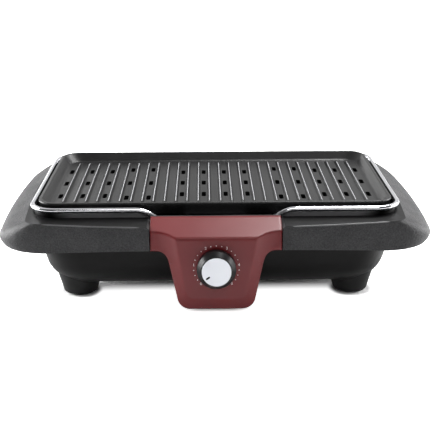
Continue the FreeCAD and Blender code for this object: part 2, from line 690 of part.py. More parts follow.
def panel_form(inset):
    """Boss of the panel from its rear plane over the bevel to its face, or the hollow inside it."""
    bevel_wire = panel_section(
        in_front(bevel_distance(BOSS_LOW_Z) - inset), in_front(FLANGE_FRONT - inset),
        BOSS_LOW_HALF - inset, BOSS_TOP_HALF - inset,
        BOSS_LOW_Z + inset, facet_z(FLANGE_FRONT) - inset, BOSS_CORNER - inset,
    )
    low_z, top_z = FACE_LOW_Z + inset, FACE_TOP_Z - inset
    behind = inset / math.cos(FACE_LEAN)
    front_wire = panel_section(
        in_front(face_distance(low_z) - behind), in_front(face_distance(top_z) - behind),
        FACE_LOW_HALF - inset, FACE_TOP_HALF - inset, low_z, top_z, FACE_CORNER - inset,
    )
    return loft(rear_section(inset, in_front(PANEL_REAR)), bevel_wire, front_wire)


def side_prism(profile, half_width):
    """Block across the panel, from points given by distance in front of the plate's middle and height."""
    points = [V(-half_width, in_front(distance), z) for distance, z in profile]
    return face_of(points).extrude(V(2 * half_width, 0, 0))


def flange_form(inset):
    return side_prism([
        (PANEL_REAR, PANEL_TOP_Z - inset),
        (FLANGE_FRONT - inset, facet_z(FLANGE_FRONT) - inset),
        (bevel_distance(FLANGE_LOW_Z) - inset, FLANGE_LOW_Z + inset),
        (PANEL_REAR, FLANGE_LOW_Z + inset),
    ], FLANGE_HALF_WIDTH - inset)


def hollow_blend(corner, first, second, radius):
    """Section of a filler that rounds out the hollow corner between two directions."""
    half_open = first.getAngle(second) / 2
    reach = radius / math.tan(half_open)
    middle = (first + second).normalize()
    crown = corner + middle * (radius / math.sin(half_open) - radius)
    start, end, root = corner + first * reach, corner + second * reach, corner - middle * PANEL_WALL
    return Part.Wire([arc(start, crown, end), line(end, root), line(root, start)])


def underside_blend():
    """Rounds out the corner between the boss's right side and the flange's underside."""
    corner = V(boss_half(FLANGE_LOW_Z), in_front(PANEL_REAR), FLANGE_LOW_Z)
    down = V(boss_half(BOSS_LOW_Z) - boss_half(FLANGE_LOW_Z), 0, BOSS_LOW_Z - FLANGE_LOW_Z).normalize()
    section = hollow_blend(corner, V(1, 0, 0), down, PANEL_BLEND)
    return Part.Face(section).extrude(V(0, PANEL_REAR - FACE_LOW, 0))


def fold_blend():
    """Rounds out the corner between the right bevel and the flange's front, inside the panel's outline."""
    sections = []
    for z in (FLANGE_LOW_Z - PANEL_BLEND, PANEL_TOP_Z):
        fold = V(boss_half(z), in_front(bevel_distance(z)), z)
        edge = V(face_half(z), in_front(face_distance(z)), z)
        sections.append(hollow_blend(fold, V(1, 0, 0), (edge - fold).normalize(), FOLD_BLEND))
    rear = in_front(PANEL_REAR)
    boss_outline = panel_section(
        rear, rear, BOSS_LOW_HALF, boss_half(PANEL_TOP_Z), BOSS_LOW_Z, PANEL_TOP_Z, BOSS_CORNER,
    )
    reach = V(0, PANEL_REAR - FACE_LOW, 0)
    flange = box(0, FLANGE_HALF_WIDTH, rear + reach.y, rear, FLANGE_LOW_Z, PANEL_TOP_Z)
    outline = Part.Face(boss_outline).extrude(reach).multiFuse([flange, underside_blend()])
    above = side_prism([
        (PANEL_REAR, PANEL_TOP_Z), (FACE_TOP, FACE_TOP_Z),
        (FACE_TOP, 2 * PANEL_TOP_Z), (PANEL_REAR, 2 * PANEL_TOP_Z),
    ], FLANGE_HALF_WIDTH)
    return loft(*sections).common(outline).cut(above)


def control_panel():
    boss = panel_form(0)
    boss = boss.makeFillet(PANEL_EDGE_FILLET, front_edges(boss))
    flange = flange_form(0)
    flange = flange.makeFillet(FLANGE_EDGE_FILLET, flange_edges(flange))
    before_bevel = side_prism([
        (bevel_distance(0), 0), (bevel_distance(PANEL_TOP_Z), PANEL_TOP_Z),
        (2 * FACE_LOW, PANEL_TOP_Z), (2 * FACE_LOW, 0),
    ], FLANGE_HALF_WIDTH)
    blends = both_sides(underside_blend().cut(before_bevel)) + both_sides(fold_blend())
    body = boss.multiFuse([flange] + blends).removeSplitter()
    posts = []
    holes = []
    for x, z in PANEL_BOSSES:
        posts += both_sides(panel_post(x, z))
        holes += both_sides(screw_hole(x, z))
    hollow = panel_form(PANEL_WALL).fuse(flange_form(PANEL_WALL)).cut(Part.makeCompound(posts))
    through = KNOB_GAP + PANEL_WALL + CUT_PAST
    holes.append(round_bar(on_face(0, 0, KNOB_GAP), FACE_NORMAL * -1, SPINDLE_R + BORE_CLEARANCE, through))
    for place in bracket_screw_places(KNOB_GAP):
        holes.append(round_bar(place, FACE_NORMAL * -1, BRACKET_SCREW_R + SCREW_CLEARANCE, through))
    return body.cut(hollow).cut(Part.makeCompound(holes))


def front_edges(body):
    """Edges round the panel's leaning face."""
    found = []
    for e in body.Edges:
        middle = e.valueAt((e.FirstParameter + e.LastParameter) / 2)
        if abs(middle.y - in_front(face_distance(middle.z))) < FLAT:
            found.append(e)
    return found


def flange_edges(flange):
    """The two upright front edges of the flange."""
    found = []
    for e in flange.Edges:
        upright = e.BoundBox.XLength < FLAT and e.BoundBox.ZLength > FLAT
        if upright and e.BoundBox.YMax < in_front(FLANGE_FRONT) + FLAT:
            found.append(e)
    return found


def panel_post(x, z):
    return round_bar(V(x, in_front(PANEL_REAR), z), V(0, -1, 0), PANEL_BOSS_R, FACE_LOW - PANEL_REAR)


def screw_hole(x, z):
    start = V(x, in_front(PANEL_REAR) + CUT_PAST, z)
    return round_bar(start, V(0, -1, 0), PANEL_SCREW_R, PANEL_SCREW_LENGTH + CUT_PAST)


def neck_inside(y0, y1):
    """Hollow of the neck between two depths."""
    half_width = NECK_HALF_WIDTH - NECK_WALL
    return box(-half_width, half_width, y0, y1, NECK_LOW_Z + NECK_WALL, NECK_TOP_Z - NECK_WALL)


def rear_cover():
    rear = in_front(PANEL_REAR)
    plate = Part.Face(rear_section(0, rear)).extrude(V(0, REAR_COVER, 0))
    wing = box(-FLANGE_HALF_WIDTH, FLANGE_HALF_WIDTH, rear, rear + REAR_COVER, FLANGE_LOW_Z, PANEL_TOP_Z)
    through, back = REAR_COVER + 2 * CUT_PAST, V(0, 1, 0)
    holes = [round_bar(V(GLAND_X, rear - CUT_PAST, GLAND_Z), back, GLAND_R, through)]
    for x, z in PANEL_BOSSES:
        start, seat = V(x, rear - CUT_PAST, z), V(x, rear + REAR_COVER - PANEL_SCREW_HEAD, z)
        holes += both_sides(round_bar(start, back, PANEL_SCREW_R + SCREW_CLEARANCE, through))
        holes += both_sides(round_bar(seat, back, PANEL_SCREW_HEAD_R + SCREW_CLEARANCE, through))
    neck = neck_inside(rear - CUT_PAST, rear + through)
    return plate.fuse(wing).removeSplitter().cut(neck).cut(Part.makeCompound(holes))


def panel_screws():
    screws = []
    for x, z in PANEL_BOSSES:
        head_y = in_front(PANEL_REAR) + REAR_COVER
        head = round_bar(V(x, head_y, z), V(0, -1, 0), PANEL_SCREW_HEAD_R, PANEL_SCREW_HEAD)
        shank = round_bar(V(x, head_y, z), V(0, -1, 0), PANEL_SCREW_R, PANEL_SCREW_LENGTH)
        screws += both_sides(head.fuse(shank))
    return screws


# Dial and thermostat
def turned(profile):
    """Round piece on the dial's axis from (radius, height over the face) points."""
    wire = Part.makePolygon([on_face(r, 0, h) for r, h in profile + [profile[0]]])
    return Part.Face(wire).revolve(DIAL, FACE_NORMAL, 360)


def knob_skirt():
    body = turned([
        (0, KNOB_GAP), (KNOB_R, KNOB_GAP), (KNOB_R, KNOB_GAP + KNOB_SKIRT),
        (KNOB_TOP_R, KNOB_HEIGHT), (0, KNOB_HEIGHT),
    ])
    inner = KNOB_R - KNOB_WALL
    hollow = turned([
        (HUB_R, 0), (inner, 0), (inner, KNOB_GAP + KNOB_SKIRT),
        (KNOB_TOP_R - KNOB_WALL, KNOB_HEIGHT - 2 * KNOB_WALL - CAP_THICKNESS),
        (HUB_R, KNOB_HEIGHT - 2 * KNOB_WALL - CAP_THICKNESS),
    ])
    bore = round_bar(DIAL, FACE_NORMAL, SPINDLE_R, HUB_DEPTH)
    return body.cut(hollow).cut(cap_disc()).cut(bore)


def cap_disc():
    low = KNOB_HEIGHT + CAP_PROUD - CAP_THICKNESS
    return round_bar(on_face(0, 0, low), FACE_NORMAL, CAP_R, CAP_THICKNESS)


def pointer_block():
    angle = math.radians(POINTER_ANGLE)
    out = V(math.sin(angle), 0, 0) + FACE_UP * math.cos(angle)
    across = FACE_NORMAL.cross(out).normalize()
    top = KNOB_HEIGHT + CAP_PROUD
    start = DIAL + out * (POINTER_REACH - POINTER_LENGTH) + FACE_NORMAL * (top - POINTER_DEPTH)
    half, along = across * (POINTER_WIDTH / 2), out * POINTER_LENGTH
    face = face_of([start + half, start - half, start - half + along, start + half + along])
    return face.extrude(FACE_NORMAL * POINTER_DEPTH)


def knob_cap():
    disc = cap_disc()
    rim = []
    for e in disc.Edges:
        heights = [(e.valueAt(end) - DIAL).dot(FACE_NORMAL) for end in (e.FirstParameter, e.LastParameter)]
        if min(heights) > KNOB_HEIGHT:
            rim.append(e)
    return disc.makeFillet(CAP_PROUD / 2, rim).cut(pointer_block())


def spindle():
    return round_bar(on_face(0, 0, -SPINDLE_BACK), FACE_NORMAL, SPINDLE_R, SPINDLE_BACK + HUB_DEPTH)


def slab_behind_face(half_width, half_height, near, far):
    """Block behind the panel's face, between two distances from its front."""
    corners = []
    for side, end in ((-1, -1), (1, -1), (1, 1), (-1, 1)):
        corners.append(on_face(side * half_width, end * half_height, -near))
    return face_of(corners).extrude(FACE_NORMAL * (near - far))


def bracket_screw_places(out):
    """Middles of the two bracket screws, that far out from the face."""
    return [on_face(0, up * BRACKET_SCREW_SPACING / 2, out) for up in (-1, 1)]


def thermostat_bracket():
    near = PANEL_WALL
    plate = slab_behind_face(BRACKET_WIDTH / 2, BRACKET_HEIGHT / 2, near, near + BRACKET_THICKNESS)
    holes = [round_bar(DIAL, FACE_NORMAL * -1, SPINDLE_R + BORE_CLEARANCE, SPINDLE_BACK)]
    for place in bracket_screw_places(0):
        holes.append(round_bar(place, FACE_NORMAL * -1, BRACKET_SCREW_R, SPINDLE_BACK))
    return plate.cut(Part.makeCompound(holes))


def thermostat():
    near = PANEL_WALL + BRACKET_THICKNESS
    half = THERMOSTAT_SIDE / 2
    body = slab_behind_face(half, half, near, near + THERMOSTAT_DEPTH)
    bore_length = SPINDLE_BACK + SPINDLE_CLEARANCE
    holes = [round_bar(DIAL, FACE_NORMAL * -1, SPINDLE_R + SPINDLE_CLEARANCE, bore_length)]
    for place in bracket_screw_places(0):
        depth = near + BRACKET_SCREW_TIP + CUT_PAST
        holes.append(round_bar(place, FACE_NORMAL * -1, BRACKET_SCREW_R + SCREW_CLEARANCE, depth))
    return body.cut(Part.makeCompound(holes))


def bracket_screws():
    screws = []
    for place in bracket_screw_places(BRACKET_SCREW_HEAD):
        head = round_bar(place, FACE_NORMAL * -1, BRACKET_SCREW_HEAD_R, BRACKET_SCREW_HEAD)
        length = BRACKET_SCREW_HEAD + PANEL_WALL + BRACKET_THICKNESS + BRACKET_SCREW_TIP
        screws.append(head.fuse(round_bar(place, FACE_NORMAL * -1, BRACKET_SCREW_R, length)))
    return screws


# Heating element and its neck
def element_path():
    def at(x, front):
        return V(x, in_front(front), ELEMENT_Z)

    left = [
        at(-TERMINAL_HALF, COLD_END), at(-TERMINAL_HALF, ELEMENT_FRONT), at(-ELEMENT_SIDE, ELEMENT_FRONT),
        at(-ELEMENT_SIDE, -ELEMENT_BACK), at(-ELEMENT_INNER_HALF, -ELEMENT_BACK),
        at(-ELEMENT_INNER_HALF, ELEMENT_INNER_FRONT),
    ]
    right = [V(-p.x, p.y, p.z) for p in reversed(left)]
    points = left + right
    return bent_path(points, [ELEMENT_BEND] * (len(points) - 2))


def heating_element():
    return tube(element_path(), ELEMENT_R)


def element_terminals():
    pins = []
    for x in (-TERMINAL_HALF, TERMINAL_HALF):
        pins.append(round_bar(V(x, in_front(COLD_END), ELEMENT_Z), V(0, -1, 0), TERMINAL_R, TERMINAL_LENGTH))
    return pins


def terminal_insulators():
    beads = []
    for x in (-TERMINAL_HALF, TERMINAL_HALF):
        place = V(x, in_front(COLD_END), ELEMENT_Z)
        bead = round_bar(place, V(0, -1, 0), INSULATOR_R, INSULATOR_LENGTH)
        beads.append(bead.cut(round_bar(place, V(0, -1, 0), TERMINAL_R, INSULATOR_LENGTH)))
    return beads


def element_neck():
    """Steel duct that carries the cold ends over the dip in the tray's rim."""
    front, back = in_front(PANEL_REAR), in_front(NECK_BACK)
    duct = box(-NECK_HALF_WIDTH, NECK_HALF_WIDTH, front + REAR_COVER, back, NECK_LOW_Z, NECK_TOP_Z)
    bores = both_sides(round_bar(V(TERMINAL_HALF, front, ELEMENT_Z), V(0, 1, 0), ELEMENT_R, PANEL_REAR))
    return duct.cut(neck_inside(front, back - NECK_WALL)).cut(Part.makeCompound(bores))


def element_support(side):
    """Steel strip that stands on the tray's floor and carries the front and back runs."""
    x = side * SUPPORT_X
    half = SUPPORT_WIDTH / 2
    top = ELEMENT_Z - ELEMENT_R
    low = TRAY_FLOOR_Z + TRAY_SHEET + SEAT_GAP
    front, back = in_front(ELEMENT_FRONT - SUPPORT_FOOT), in_front(-ELEMENT_BACK + SUPPORT_FOOT)
    past = 2 * SUPPORT_FOOT
    bar = box(x - half, x + half, front - past, back + past, top - SUPPORT_THICKNESS, top)
    legs = []
    for y, way in ((front, 1), (back, -1)):
        y0, y1 = sorted((y, y + way * SUPPORT_THICKNESS))
        legs.append(box(x - half, x + half, y0, y1, low, top))
        f0, f1 = sorted((y, y + way * SUPPORT_FOOT))
        legs.append(box(x - half, x + half, f0, f1, low, low + SUPPORT_THICKNESS))
    return bar.multiFuse(legs).removeSplitter()


# Cord gland
def cord_gland():
    """Bushing low in the rear cover, where the mains cord goes in."""
    rear = in_front(PANEL_REAR) + REAR_COVER
    start = V(GLAND_X, rear, GLAND_Z)
    flange = round_bar(start, V(0, 1, 0), GLAND_FLANGE_R, GLAND_FLANGE)
    barrel = round_bar(start, V(0, -1, 0), GLAND_R, REAR_COVER + GLAND_FLANGE)
    past = GLAND_FLANGE + CUT_PAST
    bore = round_bar(start + V(0, past, 0), V(0, -1, 0), GLAND_BORE_R, REAR_COVER + 2 * past)
    return flange.fuse(barrel).cut(bore)


def export(name, shape):
    shape = Part.makeCompound(shape) if isinstance(shape, list) else shape
    print(f"{name}: {len(shape.Solids)} solid(s), valid {shape.isValid()}, {len(shape.Faces)} faces")
    shape.exportStep(f"parts/{name}.step")


def main():
    os.makedirs("parts", exist_ok=True)
    export("grill_plate", grill_plate())
    export("drip_tray", drip_tray())
    export("base_housing", base_housing())
    tub = tub_form(BASE_WALL, TUB_FLOOR_Z, LEDGE_Z)
    names = ("front_left_foot", "front_right_foot", "rear_left_foot", "rear_right_foot")
    for name, (x, y) in zip(names, foot_places()):
        export(name, foot(x, y, tub))
        export(name + "_pad", foot_pad(x, y))
    export("foot_screws", [foot_screw(x, y) for x, y in foot_places()])
    export("control_panel", control_panel())
    export("rear_cover", rear_cover())
    export("panel_screws", panel_screws())
    export("knob_skirt", knob_skirt())
    export("knob_cap", knob_cap())
    export("knob_pointer", pointer_block())
    export("thermostat_spindle", spindle())
    export("thermostat_bracket", thermostat_bracket())
    export("thermostat", thermostat())
    export("bracket_screws", bracket_screws())
    export("heating_element", heating_element())
    export("element_terminals", element_terminals())
    export("terminal_insulators", terminal_insulators())
    export("element_neck", element_neck())
    export("left_element_support", element_support(-1))
    export("right_element_support", element_support(1))
    export("cord_gland", cord_gland())


main()
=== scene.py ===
import bpy
import bmesh
import json
import math
from mathutils import Matrix, Vector

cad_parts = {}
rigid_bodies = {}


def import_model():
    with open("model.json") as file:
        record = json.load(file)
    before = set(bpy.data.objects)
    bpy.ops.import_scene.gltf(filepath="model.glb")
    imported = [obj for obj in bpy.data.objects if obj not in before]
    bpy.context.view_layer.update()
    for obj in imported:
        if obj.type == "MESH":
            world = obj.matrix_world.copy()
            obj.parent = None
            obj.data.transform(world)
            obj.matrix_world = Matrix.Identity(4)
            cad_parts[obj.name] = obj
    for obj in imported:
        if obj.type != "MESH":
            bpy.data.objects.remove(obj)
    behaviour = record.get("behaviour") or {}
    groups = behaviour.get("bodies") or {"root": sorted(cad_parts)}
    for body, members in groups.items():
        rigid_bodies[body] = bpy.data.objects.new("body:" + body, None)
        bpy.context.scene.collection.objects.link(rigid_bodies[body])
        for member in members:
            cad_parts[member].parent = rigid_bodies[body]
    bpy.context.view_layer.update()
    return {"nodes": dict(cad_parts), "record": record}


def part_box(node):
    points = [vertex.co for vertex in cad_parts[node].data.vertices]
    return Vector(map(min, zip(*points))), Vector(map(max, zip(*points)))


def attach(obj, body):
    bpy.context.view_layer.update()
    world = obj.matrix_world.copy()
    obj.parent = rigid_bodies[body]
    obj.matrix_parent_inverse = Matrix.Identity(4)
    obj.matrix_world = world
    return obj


# Looks of the tabletop grill: materials for the CAD nodes, printed dial, crease bead, floor, light, camera.
# Metres, in the frame of the part.

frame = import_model()
nodes = frame["nodes"]
scene = bpy.context.scene
looks = {}                             # material of each finish by its name

# Camera, worked out from the photo, which is a square
IMAGE_SIDE = 430
FOCAL_PIXELS = 915
SENSOR_WIDTH = 36.0
CAMERA_PLACE = Vector((-0.0122, -1.063, 0.436))
CAMERA_PITCH = math.radians(19.0)      # down from the horizon
CAMERA_YAW = math.radians(0.688)       # to the right of +Y
CAMERA_ROLL = math.radians(-0.256)     # about its own view

# Printed dial
DIAL_LABELS = 6
DOTS_PER_LABEL = 4
DIAL_STEPS = (DIAL_LABELS - 1) * DOTS_PER_LABEL
DIAL_RADIUS = 0.0246
DIAL_SWEEP = math.radians(275)
DIAL_DOT_RADIUS = 0.00050
DIAL_TEXT_SIZE = 0.0044
PRINT_LIFT = 0.00006
PRINT_SEGMENTS = 16

# Bead along the sharp crease of the base, whose paler tone is a painted highlight
BEAD_RADIUS = 0.0008
BEAD_SINK = 0.0004                     # into both faces that meet at the crease
BEAD_STEP = 0.004
BEAD_SIDES = 10
BEAD_TAPER = 0.12                      # share of its length over which each end thins out
BEAD_TIP = 0.15                        # thickness left at the tip
MERGE_DISTANCE = 1e-6                  # corners of the housing's triangles closer than this are one
TOP_SLACK = 1e-5                       # edges this close to the top of the housing lie on its ledge
LEDGE_UPWARD = 0.99                    # least upward part of a ledge face's normal
BAND_OUTWARD = 0.9                     # least outward part of a band face's normal

# Base
LEDGE_EDGE = 0.0002                    # the smooth finish and painted shade of the ledge start this far under its top
TUB_TOP = 0.069                        # the tub is smoother than the band above it, and painted shade makes it darker
TUB_BLEND = 0.0015
SPARK_GRAIN = 0.9                      # strength of the grain on the band and on the smooth places
SMOOTH_GRAIN = 0.1

# Drip tray
TRAY_RIM = 0.1105                      # bright above this height
TRAY_RIM_BLEND = 0.002
TRAY_WALL = 0.102                      # the long walls are pale down to here
TRAY_WALL_BLEND = 0.008
TRAY_WALL_FIELD = (0.185, 0.13)        # half width and half depth of the rectangle that holds them
TRAY_WALL_FADE = 0.03
TRAY_WALL_DULL = 0.85                  # share of its shine that the wall under the rim lacks

# Cooking surface
PLATE_WELL = 0.0103                    # from the rim of the plate down to its floor
RIB_SHOULDER = 0.00298                 # heights over that floor between which a painted highlight makes the ribs paler
RIB_CROWN = 0.00315
RIB_FIELD = (0.181, 0.092)             # half width and half depth of the floor that the ribs stand on
RIB_FADE = 0.001

# Control panel
PANEL_SOFTNESS = 0.004                 # radius that its edges are shaded with
EDGE_SAMPLES = 12

# All finishes
COOL_TINT = 1.04                       # blue of a grey over its red and green
NOISE_SPAN = (0.3, 0.7)                # values that most of a noise lies between

# Floor
FLOOR_HALF = 6.0
FLOOR_TONE = 0.86
FLOOR_ROUGHNESS = 0.9
FLOOR_LIFT = 1.0                       # glow of the floor to the camera, clear of the painted shadow zones
MIRRORED_LIFT = 0.15                   # and in reflections
TUB_SHADE_HALF = (0.14, 0.0435)        # half width and half depth of the floor in full painted shadow under the tub
TUB_SHADE_REACH = 0.030
PANEL_SHADE_HALF = (0.031, 0.0195)
PANEL_SHADE_Y = -0.100
PANEL_SHADE_REACH = 0.0125
PANEL_SHADE_HEIGHT = 0.05              # nothing further off than this shades the floor under the panel
PANEL_SHADE_OPEN = (0.20, 0.32)        # shares of open sky between which that shade goes
SKY_SAMPLES = 16
FOOT_SHADE_REACH = 0.004               # to both sides of the edge of a foot

# Light
FRONT_GLOW = 0.10                      # strength of the surroundings in front of the grill and behind it
BACK_GLOW = 0.88
GLOW_CHANGE = (-0.3, 0.5)              # backward parts of a direction between which it changes
LAMPS = (                              # name, place, point aimed at, width, height, watts
    ("overhead", (0.50, 0.50, 1.35), (0, 0, 0), 0.45, 0.7, 31.0),
    ("left", (-1.25, 0.25, 0.40), (0, 0, 0.08), 0.8, 0.7, 46.0),
    ("right", (1.25, 0.25, 0.40), (0, 0, 0.08), 0.8, 0.7, 24.0),
    ("back_left", (-0.75, 2.4, 0.45), (0, 0, 0.1), 0.5, 0.4, 2.0),
    ("front", (0.25, -1.5, 1.7), (0, 0, 0.08), 1.4, 0.9, 15.5),
)


# Node helpers
def feed(tree, value, socket):
    """Link an output to an input socket, or set a plain value on it."""
    if isinstance(value, bpy.types.NodeSocket):
        tree.links.new(value, socket)
    else:
        socket.default_value = value


def add(tree, kind, **values):
    """New node. Values name its properties, or its input sockets with _ for a space."""
    node = tree.nodes.new(kind)
    for key, value in values.items():
        if hasattr(node, key):
            setattr(node, key, value)
        else:
            feed(tree, value, node.inputs[key.replace("_", " ")])
    return node


def number(tree, operation, *values, clamp=False):
    """Result of an operation on numbers."""
    node = add(tree, "ShaderNodeMath", operation=operation, use_clamp=clamp)
    for value, socket in zip(values, node.inputs):
        feed(tree, value, socket)
    return node.outputs["Value"]


def vector(tree, operation, *values):
    """Result of an operation on vectors, which for a length or a distance is a number."""
    node = add(tree, "ShaderNodeVectorMath", operation=operation)
    for value, socket in zip(values, node.inputs):
        feed(tree, value, socket)
    return node.outputs["Value" if operation in ("LENGTH", "DISTANCE") else "Vector"]


def ramp(tree, value, span, low=0.0, high=1.0, shape="SMOOTHSTEP"):
    """Number that goes from low to high while a value crosses a span."""
    node = add(
        tree, "ShaderNodeMapRange", interpolation_type=shape, Value=value, From_Min=span[0], From_Max=span[1],
        To_Min=low, To_Max=high,
    )
    return node.outputs["Result"]


def mix(tree, kind, share, low, high):
    """Blend of two colours (kind RGBA) or two numbers (kind FLOAT)."""
    return add(tree, "ShaderNodeMix", data_type=kind, Factor=share, A=low, B=high).outputs["Result"]


def noise(tree, place, scale, detail, roughness):
    cloud = add(tree, "ShaderNodeTexNoise", Vector=place, Scale=scale, Detail=detail, Roughness=roughness)
    return cloud.outputs["Fac"]


def part_place(tree):
    """Place of the shaded point in the part's frame."""
    return add(tree, "ShaderNodeTexCoord").outputs["Object"]


def drawn_out(tree, share):
    """That place with Y times a share, so that a pattern is drawn out along Y where the share is under 1."""
    scale = add(tree, "ShaderNodeCombineXYZ", X=1.0, Y=share, Z=1.0)
    return vector(tree, "MULTIPLY", part_place(tree), scale.outputs["Vector"])


def axes(tree, place):
    return add(tree, "ShaderNodeSeparateXYZ", Vector=place).outputs


# Shared effects, each a shader group with one output
def new_group(name, inputs, output, kind):
    """Group with named inputs (name: default). Gives its tree, its inputs and the socket of its output."""
    tree = bpy.data.node_groups.new(name, "ShaderNodeTree")
    for key, default in inputs.items():
        input_kind = "NodeSocketColor" if isinstance(default, tuple) else "NodeSocketFloat"
        socket = tree.interface.new_socket(key, in_out="INPUT", socket_type=input_kind)
        socket.default_value = default
    tree.interface.new_socket(output, in_out="OUTPUT", socket_type=kind)
    return tree, tree.nodes.new("NodeGroupInput").outputs, tree.nodes.new("NodeGroupOutput").inputs[output]


def grain_group():
    """Bump normal of a fine moulded or coated grain."""
    tree, inside, out = new_group(
        "surface_grain", {"Scale": 900.0, "Depth": 0.00005, "Strength": 0.4, "Stretch": 1.0},
        "Normal", "NodeSocketVector",
    )
    height = noise(tree, drawn_out(tree, inside["Stretch"]), inside["Scale"], detail=3.0, roughness=0.62)
    bump = add(
        tree, "ShaderNodeBump", Height=height, Distance=inside["Depth"], Strength=inside["Strength"],
    )
    feed(tree, bump.outputs["Normal"], out)
    return tree


def mottle_group():
    """Soft change of tone over the surface, from one colour to another, with fine specks."""
    tree, inside, out = new_group(
        "tone_mottle",
        {
            "Low": (0.05, 0.05, 0.05, 1), "High": (0.08, 0.08, 0.08, 1), "Scale": 30.0,
            "Speck Scale": 700.0, "Speck": 0.3,
        },
        "Color", "NodeSocketColor",
    )
    place = part_place(tree)
    broad = noise(tree, place, inside["Scale"], detail=4.0, roughness=0.55)
    specks = noise(tree, place, inside["Speck Scale"], detail=2.0, roughness=0.7)
    both = mix(tree, "FLOAT", inside["Speck"], broad, specks)
    share = ramp(tree, both, NOISE_SPAN, shape="LINEAR")
    feed(tree, mix(tree, "RGBA", share, inside["Low"], inside["High"]), out)
    return tree


def wipe_group():
    """Roughness that wanders between two values, as on a surface that has been wiped."""
    tree, inside, out = new_group(
        "wiped_roughness", {"Low": 0.3, "High": 0.5, "Scale": 25.0, "Stretch": 1.0},
        "Roughness", "NodeSocketFloat",
    )
    cloud = noise(tree, drawn_out(tree, inside["Stretch"]), inside["Scale"], detail=5.0, roughness=0.6)
    feed(tree, ramp(tree, cloud, NOISE_SPAN, inside["Low"], inside["High"], "LINEAR"), out)
    return tree


def height_group():
    """0 below one height of the part and 1 above another."""
    tree, inside, out = new_group("height_mask", {"Low": 0.0, "High": 0.1}, "Mask", "NodeSocketFloat")
    feed(tree, ramp(tree, axes(tree, part_place(tree))["Z"], (inside["Low"], inside["High"])), out)
    return tree


def field_group():
    """1 within a rectangle seen from above, 0 outside it, fading over a strip inside its edges."""
    tree, inside, out = new_group(
        "field_mask", {"Middle Y": 0.0, "Half Width": 0.1, "Half Depth": 0.1, "Fade": 0.001},
        "Mask", "NodeSocketFloat",
    )
    place = axes(tree, part_place(tree))
    centred = number(tree, "SUBTRACT", place["Y"], inside["Middle Y"])
    masks = []
    for value, limit in ((place["X"], "Half Width"), (centred, "Half Depth")):
        room = number(tree, "SUBTRACT", inside[limit], number(tree, "ABSOLUTE", value))
        masks.append(ramp(tree, room, (0.0, inside["Fade"])))
    feed(tree, number(tree, "MULTIPLY", *masks), out)
    return tree


GRAIN = grain_group()
MOTTLE = mottle_group()
WIPE = wipe_group()
HEIGHT = height_group()
FIELD = field_group()


def use(tree, group, **values):
    """Output of a shared effect with its inputs set."""
    return add(tree, "ShaderNodeGroup", node_tree=group, **values).outputs[0]


def grey(value):
    return (value, value, value * COOL_TINT)


def tones(tree, low, high, **values):
    return use(tree, MOTTLE, Low=(*low, 1), High=(*high, 1), **values)


def field_of(tree, node, half, fade):
    """Mask of a rectangle round the middle of a CAD node."""
    low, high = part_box(node)
    return use(tree, FIELD, Middle_Y=(low.y + high.y) / 2, Half_Width=half[0], Half_Depth=half[1], Fade=fade)


# Materials
def new_material(name):
    material = bpy.data.materials.new(name)
    material.use_nodes = True
    looks[name] = material
    return material.node_tree


def dress(tree, **values):
    """Feed the inputs of a material's Principled shader."""
    principled = tree.nodes["Principled BSDF"]
    for key, value in values.items():
        feed(tree, value, principled.inputs[key.replace("_", " ")])


def surface(name, low, high, grain, rough, speck=0.3, mottle=30.0, softness=0.0, **shader):
    """Material with mottled colour, wandering roughness and a grain (scale, depth, strength).

    The scale of the grain is also that of the specks. Where a softness is given, the edges are shaded as
    rounded to that radius in place of the grain.
    """
    tree = new_material(name)
    scale, depth, strength = grain
    if softness:
        normal = add(tree, "ShaderNodeBevel", samples=EDGE_SAMPLES, Radius=softness).outputs["Normal"]
    else:
        normal = use(tree, GRAIN, Scale=scale, Depth=depth, Strength=strength)
    dress(
        tree, Base_Color=tones(tree, low, high, Scale=mottle, Speck=speck, Speck_Scale=scale),
        Roughness=use(tree, WIPE, Low=rough[0], High=rough[1]), Normal=normal, **shader,
    )


surface(
    "foot_plastic", grey(0.003), grey(0.006), grain=(950.0, 0.00008, 0.4), rough=(0.42, 0.52),
    Specular_IOR_Level=0.15,
)
surface("pad_rubber", grey(0.010), grey(0.018), grain=(700.0, 0.0001, 0.4), rough=(0.7, 0.85))
surface("black_plastic", grey(0.010), grey(0.016), grain=(900.0, 0.00008, 0.4), rough=(0.42, 0.55))
surface(
    "panel_plastic", (0.100, 0.0078, 0.0096), (0.115, 0.0104, 0.0120), grain=(1400.0, 0.0, 0.0),
    rough=(0.33, 0.41), speck=0.2, softness=PANEL_SOFTNESS, Specular_IOR_Level=0.29,
)
surface(
    "knob_plastic", grey(0.003), grey(0.005), grain=(1200.0, 0.00001, 0.1), rough=(0.26, 0.34),
    Specular_IOR_Level=0.16,
)
surface(
    "cap_metal", (0.62, 0.64, 0.685), (0.66, 0.68, 0.72), grain=(1800.0, 0.00001, 0.1), rough=(0.34, 0.44),
    speck=0.2,
)
surface(
    "pointer_paint", grey(0.002), grey(0.004), grain=(1500.0, 0.00001, 0.1), rough=(0.5, 0.6),
    Specular_IOR_Level=0.05,
)
surface("zinc_steel", grey(0.52), grey(0.60), grain=(1500.0, 0.00002, 0.2), rough=(0.25, 0.4), Metallic=1.0)
surface("neck_steel", grey(0.30), grey(0.38), grain=(1200.0, 0.00002, 0.2), rough=(0.25, 0.4), Metallic=1.0)
surface(
    "element_steel", (0.07, 0.06, 0.052), (0.13, 0.11, 0.095), grain=(1100.0, 0.00003, 0.3),
    rough=(0.4, 0.6), mottle=60.0, Metallic=1.0,
)
surface(
    "insulator_ceramic", (0.72, 0.69, 0.62), (0.80, 0.77, 0.70), grain=(900.0, 0.00003, 0.3),
    rough=(0.5, 0.7),
)
surface(
    "thermostat_plastic", (0.60, 0.56, 0.48), (0.68, 0.64, 0.56), grain=(900.0, 0.00003, 0.3),
    rough=(0.3, 0.45),
)
